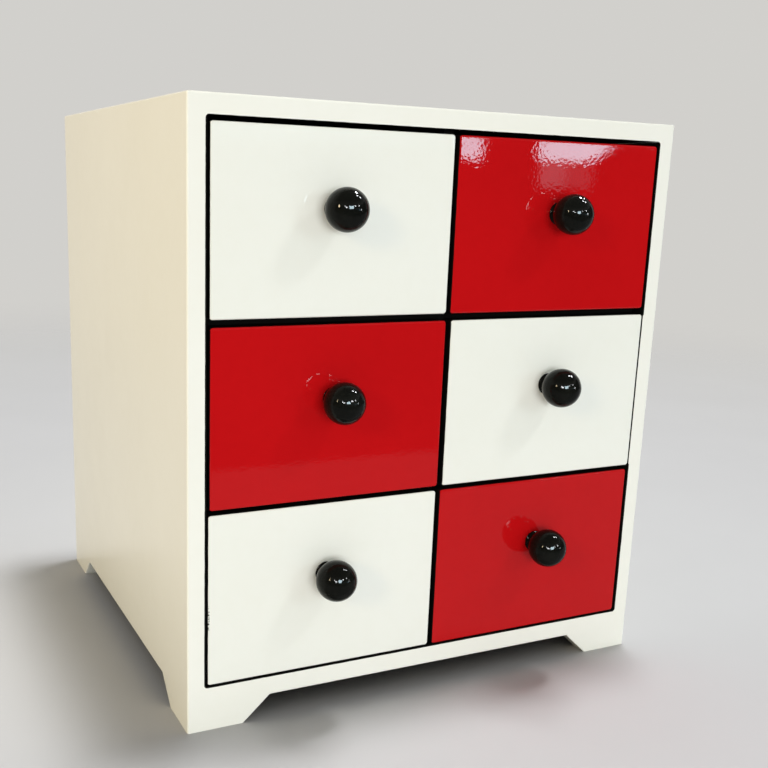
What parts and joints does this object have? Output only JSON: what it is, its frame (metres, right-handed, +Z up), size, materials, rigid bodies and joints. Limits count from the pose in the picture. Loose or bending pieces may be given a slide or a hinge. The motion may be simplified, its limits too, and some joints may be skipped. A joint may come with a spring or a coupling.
{
  "type": "drawer cabinet",
  "caption": "Table-top lacquered cabinet on bracket feet, with inset sliding drawers in a white and red checkerboard and black ball knobs, for craft supplies and small parts.",
  "frame": {"origin": "on the floor under the middle of the cabinet, with its knobs counted in", "axes": "+X to the right as seen from the front, +Y to the back, +Z up; the drawers pull out along -Y"},
  "size_m": [0.28, 0.2884, 0.31],
  "materials": {
    "white_lacquer": "high-gloss white lacquer on board",
    "red_lacquer": "high-gloss red lacquer on board",
    "black_lacquer": "semi-gloss black lacquer on board",
    "black_gloss": "high-gloss black lacquer on turned wood",
    "bare_wood": "bare softwood",
    "steel": "bright zinc-plated"
  },
  "bodies": {
    "case": {"bottom_panel": "black_lacquer", "lower_shelf": "black_lacquer", "upper_shelf": "black_lacquer", "left_side": "white_lacquer", "right_side": "white_lacquer", "top_panel": "white_lacquer", "front_apron": "white_lacquer", "rear_apron": "white_lacquer", "back_panel": "white_lacquer", "centre_divider": "black_lacquer", "corner_blocks": "bare_wood", "top_dowels": "bare_wood", "back_screws": "steel"},
    "lower_left_drawer": {"lower_left_drawer_front": "white_lacquer", "lower_left_drawer_left_side": "black_lacquer", "lower_left_drawer_right_side": "black_lacquer", "lower_left_drawer_back": "black_lacquer", "lower_left_drawer_bottom": "black_lacquer", "lower_left_drawer_knob": "black_gloss", "lower_left_drawer_knob_screw": "steel"},
    "middle_left_drawer": {"middle_left_drawer_front": "red_lacquer", "middle_left_drawer_left_side": "black_lacquer", "middle_left_drawer_right_side": "black_lacquer", "middle_left_drawer_back": "black_lacquer", "middle_left_drawer_bottom": "black_lacquer", "middle_left_drawer_knob": "black_gloss", "middle_left_drawer_knob_screw": "steel"},
    "upper_left_drawer": {"upper_left_drawer_front": "white_lacquer", "upper_left_drawer_left_side": "black_lacquer", "upper_left_drawer_right_side": "black_lacquer", "upper_left_drawer_back": "black_lacquer", "upper_left_drawer_bottom": "black_lacquer", "upper_left_drawer_knob": "black_gloss", "upper_left_drawer_knob_screw": "steel"},
    "lower_right_drawer": {"lower_right_drawer_front": "red_lacquer", "lower_right_drawer_left_side": "black_lacquer", "lower_right_drawer_right_side": "black_lacquer", "lower_right_drawer_back": "black_lacquer", "lower_right_drawer_bottom": "black_lacquer", "lower_right_drawer_knob": "black_gloss", "lower_right_drawer_knob_screw": "steel"},
    "middle_right_drawer": {"middle_right_drawer_front": "white_lacquer", "middle_right_drawer_left_side": "black_lacquer", "middle_right_drawer_right_side": "black_lacquer", "middle_right_drawer_back": "black_lacquer", "middle_right_drawer_bottom": "black_lacquer", "middle_right_drawer_knob": "black_gloss", "middle_right_drawer_knob_screw": "steel"},
    "upper_right_drawer": {"upper_right_drawer_front": "red_lacquer", "upper_right_drawer_left_side": "black_lacquer", "upper_right_drawer_right_side": "black_lacquer", "upper_right_drawer_back": "black_lacquer", "upper_right_drawer_bottom": "black_lacquer", "upper_right_drawer_knob": "black_gloss", "upper_right_drawer_knob_screw": "steel"}
  },
  "joints": [
    {"name": "lower_left_slide", "type": "slide", "parent": "case", "child": "lower_left_drawer", "axis": [0, -1, 0], "range_m": [0, 0.19]},
    {"name": "middle_left_slide", "type": "slide", "parent": "case", "child": "middle_left_drawer", "axis": [0, -1, 0], "range_m": [0, 0.19]},
    {"name": "upper_left_slide", "type": "slide", "parent": "case", "child": "upper_left_drawer", "axis": [0, -1, 0], "range_m": [0, 0.19]},
    {"name": "lower_right_slide", "type": "slide", "parent": "case", "child": "lower_right_drawer", "axis": [0, -1, 0], "range_m": [0, 0.19]},
    {"name": "middle_right_slide", "type": "slide", "parent": "case", "child": "middle_right_drawer", "axis": [0, -1, 0], "range_m": [0, 0.19]},
    {"name": "upper_right_slide", "type": "slide", "parent": "case", "child": "upper_right_drawer", "axis": [0, -1, 0], "range_m": [0, 0.19]}
  ]
}
